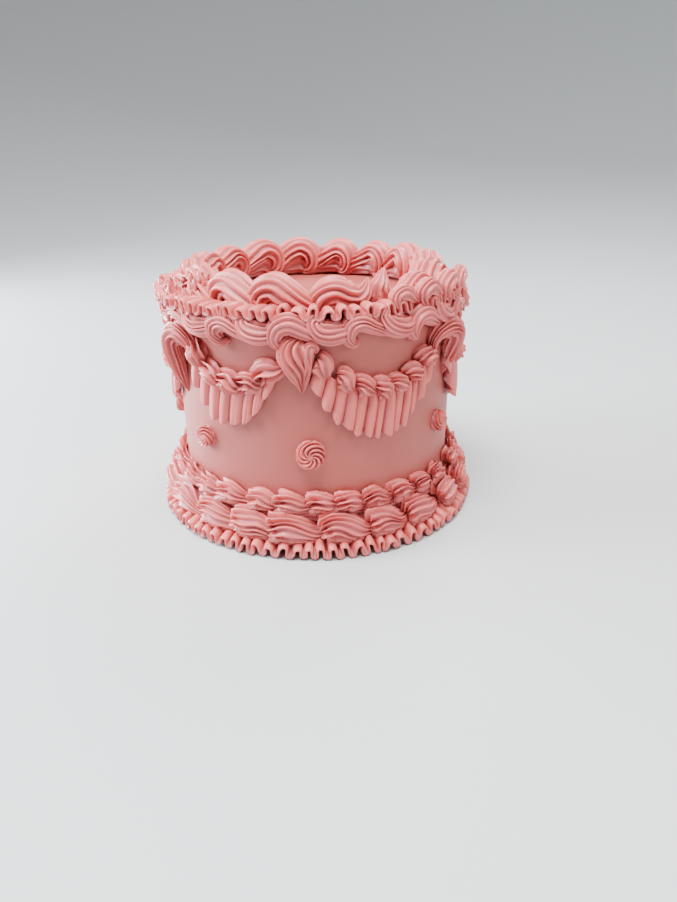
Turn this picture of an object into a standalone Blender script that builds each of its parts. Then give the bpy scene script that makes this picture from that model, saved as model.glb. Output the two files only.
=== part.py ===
"""Lambeth cake: a round cake in smooth buttercream, over-piped with borders, swags, drops and rosettes.

Blender 4.5, metres, +Z up. The origin is the centre of the underside. Azimuth 0 is the front, at -Y,
and grows to the right as the cake is seen from outside, which is the way each stroke was piped.
"""
import math
import random

import bmesh
import bpy
from mathutils import Matrix, Vector

MM = 0.001
GAP = 0.3 * MM  # kept between pieces that touch

# The smooth-iced cake: 6 inches across, 4.5 inches tall
BODY_RADIUS = 76 * MM
BODY_HEIGHT = 115 * MM
BODY_FACETS = 64
TOP_EDGE_ROUND = 3 * MM

# Border round the foot: a frill, large shells on it, and small shells over them
BASE_FRILL_RADIUS = 93 * MM
BASE_FRILL_HEIGHT = 5.6 * MM
BASE_FRILL_FOLD = (3 * MM, 3.2 * MM)  # out of and down into a fold, at the rim
BASE_FRILL_PLEATS = 86
BASE_SHELLS = 22
BASE_SHELL_START = -5
BASE_SHELL_SIZE = (33 * MM, 15.6 * MM, 13.5 * MM)
BASE_SHELL_Z = 13 * MM
COLLAR_SHELLS = 32
COLLAR_SHELL_START = -4
COLLAR_SHELL_SIZE = (20 * MM, 11.4 * MM, 7 * MM)
COLLAR_Z = 25 * MM
COLLAR_FOOT = 20.4 * MM

# Border round the top: scrolls on the side, a frill over them, rolled shells on the top
SCROLLS = 30
SCROLL_Z = 112.7 * MM
SCROLL_WAVE = 1.5 * MM
SCROLL_SIZE = (8.6 * MM, 7.2 * MM)
TOP_FRILL_PLEATS = 82
TOP_FRILL_INNER = 70 * MM
TOP_FRILL_OUTER = 85 * MM
TOP_FRILL_FOLD = (1.6 * MM, 3.2 * MM)
TOP_FRILL_RISE = 10 * MM
TOP_FRILL_LIP = (3.8 * MM, 8.4 * MM)
TOP_SHELLS = 16
TOP_SHELL_START = -0.5
TOP_SHELL_RADIUS = 59.6 * MM
TOP_SHELL_SIZE = (37 * MM, 20.4 * MM, 24.7 * MM)
TOP_SHELL_SWAY = 1.3 * MM

# Swags hang between the joints, which were spaced by hand. The first one is right of the front
JOINTS = (-5.5, 54.5, 98, 141, 184, 226, 265.5, 304.5)
DROP_TIP_Z = (83.5, 79, 81, 78, 82, 79, 77, 72)  # mm, where each drop's point ends
DROP_TOP_Z = 108 * MM
DROP_SIZE = (17.4 * MM, 9.5 * MM)
SWAG_LOW_Z = (83.5, 85, 84, 86, 85, 84, 85, 86)  # mm, the middle of each garland
HEM_Z = (59.5, 62, 61, 64, 62, 60, 63, 65)  # mm, the lowest point of each frill
SWAG_END_Z = 99.5 * MM
SWAG_INSET = 9.4 * MM
SWAG_SHELL_SIZE = (15 * MM, 9.6 * MM, 6.4 * MM)
SWAG_SHELL_PITCH = 8.4 * MM
FRILL_PITCH = 6.4 * MM
FRILL_SPAN = 0.88  # of the garland's width
FRILL_END_DEPTH = 9 * MM
FRILL_THICKNESS = (2 * MM, 3.8 * MM)
FRILL_SCALLOP = 2 * MM

# One rosette near each joint, the front one the largest
ROSETTES = (-2.4, 57, 100, 144, 187, 229, 271, 312.5)
ROSETTE_Z = 53.5 * MM
ROSETTE_RADIUS = (7.4, 6, 6.6, 6.2, 7, 6.4, 6.2, 6)  # mm
ROSETTE_HEIGHT = 6 * MM
ROSETTE_RIDGES = 7

PINK_ICING = (0.62, 0.28, 0.24)
WEB_DEGREES = 100  # a stroke's ridges span this far to each side of its crest
WELD = 0.01 * MM
hand = random.Random(11)


def uneven(value, share):
    """The value, changed at random by up to that share of it, as a hand does."""
    return value * (1 + hand.uniform(-share, share))


def clear_scene():
    for obj in list(bpy.data.objects):
        bpy.data.objects.remove(obj)


def new_collection(name):
    made = bpy.data.collections.new(name)
    bpy.context.scene.collection.children.link(made)
    return made


def icing(name, colour, roughness):
    """A matt buttercream material."""
    made = bpy.data.materials.new(name)
    made.use_nodes = True
    shader = made.node_tree.nodes["Principled BSDF"]
    shader.inputs["Base Color"].default_value = (*colour, 1)
    shader.inputs["Roughness"].default_value = roughness
    shader.inputs["Metallic"].default_value = 0
    return made


def polar(azimuth, radius, z):
    """A point of the cake from its azimuth in degrees, its radius and its height."""
    angle = math.radians(azimuth)
    return Vector((radius * math.sin(angle), -radius * math.cos(angle), z))


def side_place(azimuth, z, low=None, high=None):
    """How to lay a flat stroke on the side: X goes round it, Y up, Z out of it.

    low and high are heights that the stroke is pressed flat against.
    """
    def place(point):
        height = z + point.y
        height = height if low is None else max(height, low)
        height = height if high is None else min(height, high)
        turned = azimuth + math.degrees(point.x / BODY_RADIUS)
        return polar(turned, BODY_RADIUS + GAP + point.z, height)
    return place


def top_place(azimuth, radius):
    """How to lay a flat stroke on the top: X goes round it, Y to its middle, Z up."""
    def place(point):
        turned = azimuth + math.degrees(point.x / radius)
        return polar(turned, radius - point.y, BODY_HEIGHT + GAP + point.z)
    return place


def rolled_grid(around, along, point_at):
    """A closed mesh: a grid whose sides meet, with point_at(column, row) for each of its points."""
    bm = bmesh.new()
    bmesh.ops.create_grid(bm, x_segments=around, y_segments=along, size=1)
    for vert in bm.verts:
        column = round((vert.co.x + 1) / 2 * around) % around
        row = round((vert.co.y + 1) / 2 * along)
        vert.co = point_at(column, row)
    bmesh.ops.remove_doubles(bm, verts=bm.verts, dist=WELD)
    bmesh.ops.recalc_face_normals(bm, faces=bm.faces)
    mesh = bpy.data.meshes.new("icing")
    bm.to_mesh(mesh)
    bm.free()
    return mesh


def swell(share):
    """How full a stroke is at this share of its length: round at the head, drawn out to the tail."""
    return math.sin(math.pi * share ** 0.55) if 0 < share < 1 else 0


def stroke(size, ridges, stations, place, line=None, groove=0.2, swirl=0.0, keel=0):
    """A shell of icing: crests and grooves in turn down from its spine, and a flat foot.

    size is its length, width and height. line(share) gives the middle line's point and heading.
    keel is 1 where the foot needs a line of points along its middle, to follow the cake's curve.
    """
    length, width, height = size
    columns = 2 * ridges - 1

    def straight(share):
        return Vector((length * share, 0, 0)), 0

    def point_at(column, row):
        share = (row / stations) ** 1.2
        middle, heading = (line or straight)(share)
        if column == columns:
            return place(middle)
        full = swell(share)
        angle = math.radians(WEB_DEGREES) * (2 * column / (columns - 1) - 1)
        deep = 1 - groove * ((column - ridges + 1) % 2)
        inner = 0 < column < columns - 1
        across = width / 2 * full * deep * math.sin(angle + swirl * share * inner)
        up = max(height * full * deep * math.cos(angle), 0)
        return place(middle + Vector((
            -across * math.sin(heading),
            across * math.cos(heading),
            up,
        )))

    return rolled_grid(columns + keel, stations, point_at)


def add_piece(name, mesh, where, finish):
    made = bpy.data.objects.new(name, mesh)
    made.data.materials.append(finish)
    where.objects.link(made)
    return made


def fused(name, meshes, cake, finish):
    """One solid of many strokes that overlap."""
    others = new_collection(name + "_strokes")
    whole = add_piece(name, meshes[0], cake, finish)
    for mesh in meshes[1:]:
        add_piece(name + "_stroke", mesh, others, finish)
    union = whole.modifiers.new("join", "BOOLEAN")
    union.operation = "UNION"
    union.operand_type = "COLLECTION"
    union.collection = others
    union.solver = "MANIFOLD"
    bpy.context.view_layer.update()
    graph = bpy.context.evaluated_depsgraph_get()
    joined = bpy.data.meshes.new_from_object(whole.evaluated_get(graph))
    whole.modifiers.clear()
    whole.data = joined
    for obj in list(others.objects):
        bpy.data.objects.remove(obj)
    bpy.data.collections.remove(others)


def body(cake, finish):
    """The iced cake: a profile turned about the axis, from the middle of its top down to its foot."""
    bm = bmesh.new()
    corner = 2
    points = [Vector((0, 0, BODY_HEIGHT))]
    for step in range(corner + 1):
        angle = math.radians(90 * step / corner)
        points.append(Vector((
            BODY_RADIUS - TOP_EDGE_ROUND * (1 - math.sin(angle)),
            0,
            BODY_HEIGHT - TOP_EDGE_ROUND * (1 - math.cos(angle)),
        )))
    points += [Vector((BODY_RADIUS, 0, 0)), Vector((0, 0, 0))]
    verts = [bm.verts.new(point) for point in points]
    for first, second in zip(verts, verts[1:]):
        bm.edges.new((first, second))
    profile = bpy.data.meshes.new("cake")
    bm.to_mesh(profile)
    bm.free()
    made = add_piece("cake", profile, cake, finish)
    turn = made.modifiers.new("turn", "SCREW")
    turn.steps = turn.render_steps = BODY_FACETS
    turn.use_merge_vertices = True
    turn.merge_threshold = WELD
    turn.use_smooth_shade = True


def folded_ring(name, rows, pleats, cake, finish):
    """A ring of icing pleated from its middle to its rim, with a row for each edge of its section.

    A row is its radius and height on a pleat, and how far it goes in and down into the next fold.
    """
    columns = 2 * pleats
    lean = [hand.uniform(-0.2, 0.2) for _ in range(columns)]
    reach = [hand.uniform(-0.9, 0) * MM for _ in range(columns)]

    def point_at(row, column):
        column %= columns
        radius, z, inward, down = rows[row]
        fold = 1 - column % 2
        free = inward > 0
        return polar(
            (column + lean[column] * free) * 360 / columns,
            radius - inward * fold + reach[column] * free,
            z - down * fold,
        )

    add_piece(name, rolled_grid(len(rows), columns, point_at), cake, finish)


def base_frill(cake, finish):
    back = BODY_RADIUS + GAP
    rim = BASE_FRILL_RADIUS
    high = BASE_FRILL_HEIGHT
    inward, down = BASE_FRILL_FOLD
    folded_ring("base_frill", (
        (back, 0, 0, 0),
        (rim, 0, inward, 0),
        (rim - 1 * MM, high - 0.6 * MM, inward, down),
        (back, high, 0, 0),
    ), BASE_FRILL_PLEATS, cake, finish)


def top_frill(cake, finish):
    foot = BODY_HEIGHT + GAP
    rim = TOP_FRILL_OUTER
    under, over = TOP_FRILL_LIP
    inward, down = TOP_FRILL_FOLD
    folded_ring("top_frill", (
        (TOP_FRILL_INNER, foot, 0, 0),
        (rim, foot + under + 0.8 * MM, inward, 0.8 * MM),
        (rim - 0.8 * MM, foot + over, inward, down),
        (TOP_FRILL_INNER + 3 * MM, foot + TOP_FRILL_RISE, 1 * MM, 2 * MM),
    ), TOP_FRILL_PLEATS, cake, finish)


def base_shells(cake, finish):
    """The large shells, each over the tail of the one before it, between the frill and the collar."""
    meshes = []
    low = BASE_FRILL_HEIGHT + GAP
    for index in range(BASE_SHELLS):
        size = [uneven(side, 0.05) for side in BASE_SHELL_SIZE]
        azimuth = BASE_SHELL_START + (index + hand.uniform(-0.08, 0.08)) * 360 / BASE_SHELLS
        place = side_place(azimuth, BASE_SHELL_Z, low, COLLAR_FOOT)
        meshes.append(stroke(size, 4, 4, place, swirl=0.35))
    fused("base_shells", meshes, cake, finish)


def collar_shells(cake, finish):
    """The small shells against the side, over the large ones."""
    meshes = []
    for index in range(COLLAR_SHELLS):
        size = [uneven(side, 0.08) for side in COLLAR_SHELL_SIZE]
        azimuth = COLLAR_SHELL_START + (index + hand.uniform(-0.1, 0.1)) * 360 / COLLAR_SHELLS
        place = side_place(azimuth, COLLAR_Z, COLLAR_FOOT + GAP)
        meshes.append(stroke(size, 3, 3, place))
    fused("collar_shells", meshes, cake, finish)


def top_shells(cake, finish):
    """The rolled shells that stand round the top, swaying in and out as they go."""
    meshes = []
    for index in range(TOP_SHELLS):
        length, width, height = TOP_SHELL_SIZE
        height *= 1 - hand.uniform(0, 0.1) * (index > 0)
        azimuth = TOP_SHELL_START + (index + hand.uniform(-0.06, 0.06)) * 360 / TOP_SHELLS

        def line(share):
            sway = TOP_SHELL_SWAY * math.sin(2 * math.pi * share)
            return Vector((length * share, sway, 0)), 0

        place = top_place(azimuth, TOP_SHELL_RADIUS)
        size = (length, width - 2 * TOP_SHELL_SWAY, height)
        meshes.append(stroke(size, 5, 5, place, line, groove=0.13, swirl=0.3))
    fused("top_shells", meshes, cake, finish)


def scroll_border(cake, finish):
    """The rope of scrolls round the top of the side, arched up and down in turn."""
    stations = 4
    section = 6
    width, depth = SCROLL_SIZE
    foot = BODY_HEIGHT + GAP

    def point_at(column, row):
        row %= SCROLLS * stations
        turn = row / stations
        share = turn % 1
        arch = math.sin(math.pi * share) * (1 if int(turn) % 2 else -1)
        full = 0.66 + 0.34 * math.sin(math.pi * share ** 0.7)
        angle = math.radians(WEB_DEGREES) * (2 * column / (section - 1) - 1)
        deep = 1 - 0.16 * (column % 2)
        radius = BODY_RADIUS + GAP + max(depth * full * deep * math.cos(angle), 0)
        z = SCROLL_Z + SCROLL_WAVE * arch + width / 2 * full * math.sin(angle)
        under_frill = foot + TOP_FRILL_LIP[0] * (radius - TOP_FRILL_INNER) / (TOP_FRILL_OUTER - TOP_FRILL_INNER)
        return polar(turn * 360 / SCROLLS, radius, min(z, under_frill - GAP))

    mesh = rolled_grid(section, SCROLLS * stations, point_at)
    add_piece("scroll_border", mesh, cake, finish)


def swag_line(half_span, sag):
    """The curve that a swag hangs in, as its point and heading at an offset from its middle."""
    def line(offset):
        share = offset / half_span
        slope = 2 * sag * share / half_span
        return Vector((offset, sag * share ** 2, 0)), math.atan(slope)
    return line


def swag(number, cake, finish):
    """One swag: a garland of small shells, and the frill that hangs from it."""
    start = JOINTS[number - 1]
    end = JOINTS[number] if number < len(JOINTS) else JOINTS[0] + 360
    middle = (start + end) / 2
    half_span = math.radians(end - start) / 2 * BODY_RADIUS - SWAG_INSET
    low = SWAG_LOW_Z[number - 1] * MM
    sag = SWAG_END_Z - low
    line = swag_line(half_span, sag)
    place = side_place(middle, low)
    length, width, height = SWAG_SHELL_SIZE
    arc = 2 * half_span * (1 + 2 / 3 * (sag / half_span) ** 2)
    shells = round((arc - length) / SWAG_SHELL_PITCH) + 1
    reach = length * 2 * half_span / arc
    meshes = []
    for index in range(shells):
        first = -half_span + (2 * half_span - reach) * index / (shells - 1)

        def run(share, first=first):
            return line(first + reach * share)

        size = (length, width, uneven(height, 0.08))
        meshes.append(stroke(size, 3, 3, place, run))
    fused("swag_shells_%d" % number, meshes, cake, finish)
    swag_frill(number, half_span, line, place, cake, finish)


def swag_frill(number, half_span, line, place, cake, finish):
    """The pleated frill: its pleats stand out of it in turn and end in rounded scallops."""
    pleats = round(2 * half_span / FRILL_PITCH)
    columns = 2 * pleats
    deepest = (SWAG_LOW_Z[number - 1] - HEM_Z[number - 1]) * MM
    thin, thick = FRILL_THICKNESS
    hem = [hand.uniform(-0.6, 0.6) * MM for _ in range(columns + 1)]

    def point_at(corner, column):
        offset = half_span * FRILL_SPAN * (2 * column / columns - 1)
        middle, heading = line(offset)
        down = Vector((math.sin(heading), -math.cos(heading), 0))
        top = middle + down * (SWAG_SHELL_SIZE[1] / 2 + GAP)
        if column in (0, columns):
            return place(top + Vector((0, -FRILL_END_DEPTH / 2, 0)))
        share = abs(offset) / half_span
        depth = deepest + (FRILL_END_DEPTH - deepest) * share ** 2
        depth -= SWAG_SHELL_SIZE[1] / 2
        crest = column % 2
        hang = depth + hem[column] - FRILL_SCALLOP * (1 - crest)
        out = thick if crest else thin
        if corner in (1, 2):
            top = top + Vector((0, 0, out * (0.8 if corner == 1 else 1)))
        if corner in (2, 3):
            top = top + Vector((0, -hang, 0))
        return place(top)

    mesh = rolled_grid(4, columns, point_at)
    add_piece("swag_frill_%d" % number, mesh, cake, finish)


def drop(number, cake, finish):
    """A fat ridged teardrop that hides the joint of two swags."""
    width, height = DROP_SIZE
    length = DROP_TOP_Z - DROP_TIP_Z[number - 1] * MM

    def hanging(share):
        return Vector((0, -length * share, 0)), math.radians(-90)

    place = side_place(JOINTS[number - 1], DROP_TOP_Z, high=SCROLL_Z - SCROLL_WAVE - SCROLL_SIZE[0] / 2 - GAP)
    mesh = stroke((length, width, height), 5, 5, place, hanging, keel=1)
    add_piece("drop_%d" % number, mesh, cake, finish)


def rosette(number, cake, finish):
    """A swirled star of icing, with its ridges curling in to a hollow in the middle."""
    rings = ((0, 0, 0), (1, 0, 0), (1, 0.55, 0.5), (0.55, 1, 1.3), (0, 0.72, 0))
    columns = 2 * ROSETTE_RIDGES
    place = side_place(ROSETTES[number - 1], ROSETTE_Z + hand.uniform(-1.5, 1.5) * MM)
    size = ROSETTE_RADIUS[number - 1] * MM

    def point_at(column, row):
        reach, height, curl = rings[row]
        angle = 2 * math.pi * column / columns - curl
        radius = size * reach * (1 - 0.2 * (column % 2) * (height > 0))
        return place(Vector((
            radius * math.cos(angle),
            radius * math.sin(angle),
            ROSETTE_HEIGHT * height,
        )))

    mesh = rolled_grid(columns, len(rings) - 1, point_at)
    add_piece("rosette_%d" % number, mesh, cake, finish)


def main():
    clear_scene()
    cake = new_collection("lambeth_cake")
    smooth = icing("smooth_icing", PINK_ICING, 0.5)
    piped = icing("piped_icing", PINK_ICING, 0.45)
    body(cake, smooth)
    base_frill(cake, piped)
    base_shells(cake, piped)
    collar_shells(cake, piped)
    scroll_border(cake, piped)
    top_frill(cake, piped)
    top_shells(cake, piped)
    for number in range(1, len(JOINTS) + 1):
        swag(number, cake, piped)
        drop(number, cake, piped)
        rosette(number, cake, piped)


main()
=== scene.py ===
"""Lambeth cake: pink buttercream piped over a smooth round cake.

Sizes are in millimetres inside the makers below and in metres on the meshes. Azimuth 0 is the
front, at -Y, and grows to the right as the cake is seen from outside. A stroke is a path that the
nozzle took, drawn flat as if the side of the cake were unrolled: x to the right, y up, and a lift
off the cake, with the half width and half depth that the icing has there.
"""

import math
import random

import bmesh
import bpy
from bpy.props import FloatProperty, FloatVectorProperty, IntProperty, PointerProperty
from mathutils import Matrix, Vector, noise


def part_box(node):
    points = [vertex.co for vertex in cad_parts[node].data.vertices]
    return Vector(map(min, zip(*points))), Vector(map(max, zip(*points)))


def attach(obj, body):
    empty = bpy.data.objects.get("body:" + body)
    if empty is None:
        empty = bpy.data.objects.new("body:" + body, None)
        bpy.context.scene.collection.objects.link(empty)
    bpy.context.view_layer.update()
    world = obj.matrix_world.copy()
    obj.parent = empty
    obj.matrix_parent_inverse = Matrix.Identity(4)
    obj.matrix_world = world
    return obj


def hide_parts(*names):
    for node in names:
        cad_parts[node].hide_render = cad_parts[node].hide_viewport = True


bl_info = {
    "name": "Lambeth Cake",
    "version": (1, 0, 0),
    "blender": (4, 5, 0),
    "location": "View3D > Sidebar > Cake",
    "description": "Pipes a lambeth cake in buttercream round its frame",
    "category": "Object",
}

MM = 0.001
WELD = 0.004 * MM

# The noise starts from the clock unless it is given a seed
NOISE_SEED = 1
noise.seed_set(NOISE_SEED)

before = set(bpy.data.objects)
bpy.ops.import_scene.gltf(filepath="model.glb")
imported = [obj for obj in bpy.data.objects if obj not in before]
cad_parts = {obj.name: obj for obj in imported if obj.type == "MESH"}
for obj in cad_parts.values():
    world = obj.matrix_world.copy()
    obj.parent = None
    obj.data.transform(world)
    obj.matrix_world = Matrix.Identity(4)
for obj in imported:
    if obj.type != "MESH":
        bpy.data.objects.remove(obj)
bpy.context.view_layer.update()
body_low, body_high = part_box("cake")
BODY_RADIUS = (body_high[0] - body_low[0]) / 2 / MM
BODY_HEIGHT = body_high[2] / MM

# The swags: the azimuths of their joints in degrees, then heights and widths in millimetres
JOINTS = (-5.5, 54.5, 98, 141, 184, 226, 265.5, 304.5)
SWAG_TOP = 99.5
SWAG_LOWS = (83.5, 85, 84, 86, 85, 84, 85, 86)
HEMS = (59.5, 62, 61, 64, 62, 60, 63, 65)
FRINGE_PITCHES = (5.0, 5.6, 5.2, 5.6, 5.2, 5.4, 5.6, 6.2)
FRINGE_SKEWS = (5.0, 0, -2, 2, 0, -1, 1, -3.0)
SPIKY_SWAGS = (3, 7)

# The drop and the rosette at each joint
PLAIN_DROP_TOP = 109.5
ROLLED_DROP_TOP = 110.5
DROP_TIPS = (83.5, 79, 81, 78, 82, 79, 77, 72)
MIRRORED_DROPS = (1, 5)
ROSETTES = (-2.4, 57, 100, 144, 187, 229, 271, 312.5)
ROSETTE_RADII = (7.4, 6, 6.6, 6.2, 7, 6.4, 6.2, 6)
FRONT_ROSETTE_HEIGHT = 52.0
ROSETTE_HEIGHT = 54

# The borders: where their strokes start in degrees, and how far out and how high they lie
TOP_SHELL_HEADS = (-65, -41, -20, 4, 30.5, 48, 70, 93, 116.5, 139, 161.5, 184, 206, 228.5, 250.5, 272.5)
TOP_SHELL_RADIUS = 60
LARGE_SHELL_HEADS = (-64.5, -45.3, -29.1, -15.5, 2.5, 19.0, 34.2, 52.7)
LARGE_SHELL_PITCH = 16.2
LARGE_SHELLS_BEHIND = 14
LARGE_SHELL_HEIGHT = 12.6
SMALL_SHELL_HEADS = (-37.3, -23.7, -13.5, -1.2, 8.7, 18.6, 30.0, 41.6, 52.5, 68.6)
SMALL_SHELL_PITCH = 11.05
SMALL_SHELLS_BEHIND = 22
SMALL_SHELL_HEIGHT = 24.0
UNDER_RING_HEIGHT = 18.2
SCROLLS = 30
SCROLL_HEIGHT = 114.2
FOOT_FRILL_INNER = (80.0, 6.5)
FOOT_FRILL_OUTER = (91.2, 3.5)
RIM_FRILL_INNER = (68.5, 120.4)
RIM_FRILL_OUTER = (82.8, 121.0)
RIM_CURLS = ((29, 0.9), (41, 1.0), (53, 1.1), (66, 1.0), (79, 0.9))
RIM_DENTS = ((-7.0, 4.5), (37.0, 3.5), (118.0, 3.0), (205.0, 4.0), (-118.0, 3.0))
DENT_WIDTH = 0.045

# The torn left of the rim, in radians
TORN_PLACE = -1.22
TORN_SPREAD = 0.42

# A least lift so low that it holds no stroke up
NO_FOOT = -99

# The stage, in metres
FLOOR_FLAT = 0.9
FLOOR_BEND = 2
AIM_HEIGHT = 0.07


class CakeSizes(bpy.types.PropertyGroup):
    """Sizes that a decorator would change."""

    ridge_depth: FloatProperty(
        name="Ridge depth",
        description="How deep the nozzle's teeth cut, as a share of the stroke's radius",
        default=0.26,
        min=0.05,
        max=0.5,
        subtype="FACTOR",
    )
    wobble: FloatProperty(
        name="Wobble",
        description="How far the hand strays from an even stroke, in millimetres",
        default=0.35,
        min=0,
        max=1.5,
    )
    foot_pleats: IntProperty(
        name="Foot pleats",
        description="Pleats in the frill round the foot",
        default=86,
        min=20,
        max=140,
    )
    rim_pleats: IntProperty(
        name="Rim pleats",
        description="Pleats in the frill round the top edge",
        default=82,
        min=20,
        max=140,
    )


class IcingLook(bpy.types.PropertyGroup):
    """Colours of the icing, of its painted shade and of the stage."""

    pink: FloatVectorProperty(
        name="Pink",
        description="Colour of the piped buttercream",
        default=(0.62, 0.134, 0.125),
        subtype="COLOR",
        size=3,
        min=0,
        max=1,
    )
    deep_pink: FloatVectorProperty(
        name="Deep pink",
        description="Colour of the piped buttercream where the dye is stronger",
        default=(0.57, 0.100, 0.093),
        subtype="COLOR",
        size=3,
        min=0,
        max=1,
    )
    # Painted shade: the smoothed buttercream is the same icing as the piped, painted darker for the weaker
    # light on the upright body
    shaded_smooth_pink: FloatVectorProperty(
        name="Smooth pink",
        description="Colour of the smoothed buttercream",
        default=(0.385, 0.087, 0.073),
        subtype="COLOR",
        size=3,
        min=0,
        max=1,
    )
    # Painted shade as well: the smooth icing's stronger dye, painted darker for the upright body
    shaded_smooth_deep_pink: FloatVectorProperty(
        name="Smooth deep pink",
        description="Colour of the smoothed buttercream where the dye is stronger",
        default=(0.345, 0.066, 0.054),
        subtype="COLOR",
        size=3,
        min=0,
        max=1,
    )
    # Painted shade: the colour that darkens the grooves, the valleys between pleats, the buried strokes and
    # the body's pits
    painted_shade_pink: FloatVectorProperty(
        name="Crease pink",
        description="Colour deep in the grooves between the ridges",
        default=(0.22, 0.064, 0.082),
        subtype="COLOR",
        size=3,
        min=0,
        max=1,
    )
    floor: FloatVectorProperty(
        name="Floor",
        description="Colour of the floor",
        default=(0.47, 0.485, 0.495),
        subtype="COLOR",
        size=3,
        min=0,
        max=1,
    )
    key_power: FloatProperty(
        name="Light",
        description="Power of one measure of the soft light; each lamp has its own number of measures",
        default=13,
        min=0,
        unit="POWER",
    )


def sizes():
    """The sizes set in the sidebar."""
    return bpy.context.scene.cake_sizes


def look():
    """The colours and the light set in the sidebar."""
    return bpy.context.scene.icing_look


# Laying a flat drawing on the cake


def on_cylinder(azimuth, radius, height):
    """Lays a drawing on an upright cylinder, with its origin at that azimuth and height."""

    def lay(x, y, lift):
        angle = math.radians(azimuth) + x / radius
        reach = (radius + lift) * MM
        return Vector((reach * math.sin(angle), -reach * math.cos(angle), (height + y) * MM))

    return lay


def through(knots, share):
    """The smooth curve through the knots, at a share of its length from 0 to 1."""
    spans = len(knots) - 1
    place = min(share, 0.999999) * spans
    index = int(place)
    t = place - index
    before = knots[max(index - 1, 0)]
    first = knots[index]
    last = knots[index + 1]
    after = knots[min(index + 2, spans)]
    return [
        0.5 * (2 * b + (c - a) * t + (2 * a - 5 * b + 4 * c - d) * t * t + (3 * b - a - 3 * c + d) * t ** 3)
        for a, b, c, d in zip(before, first, last, after)
    ]


def pinched(offset, bend):
    """An offset towards the inside of a bend, held back so that it never passes the bend's centre."""
    free = 0.6
    room = 0.34
    turn = offset * bend
    if turn <= free:
        return offset
    return (free + room * (1 - math.exp(-(turn - free) / room))) / bend


def painted_shade_layer(bm):
    """The mesh's record of how deep in a groove each point lies, from 0 to 1, which the icing takes as
    painted shade.
    """
    return bm.verts.layers.float.get("hollow") or bm.verts.layers.float.new("hollow")


def spine_row(knots, share, tail):
    """One row of a stroke: its share, its knot values, heading, bend and how full its end leaves it."""
    nudge = 0.01
    here = through(knots, share)
    ahead = through(knots, min(share + nudge, 1))
    behind = through(knots, max(share - nudge, 0))
    along = Vector((ahead[0] - behind[0], ahead[1] - behind[1]))
    heading = math.atan2(along.y, along.x)
    first = Vector((here[0] - behind[0], here[1] - behind[1]))
    second = Vector((ahead[0] - here[0], ahead[1] - here[1]))
    step = (first.length + second.length) / 2
    bend = 0.0
    if first.length > 1e-6 and second.length > 1e-6:
        bend = -first.angle_signed(second) / step
    close = min((1 - share) / tail, 1)
    return share, here, heading, bend, rounded(close)


def rounded(share):
    """How full a round end is, from 0 at its pole to 1 where it is full."""
    return math.sqrt(max(1 - (1 - share) ** 2, 0))


def nozzle_turn(column, front, hidden):
    """Where a column lies round the stroke: ridged on its outer side, plain at its back."""
    if not hidden:
        return 2 * math.pi * column / front
    if column <= front:
        return math.radians(-40 + 260 * column / front)
    return math.radians(220 + 100 * (column - front) / hidden)


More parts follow.
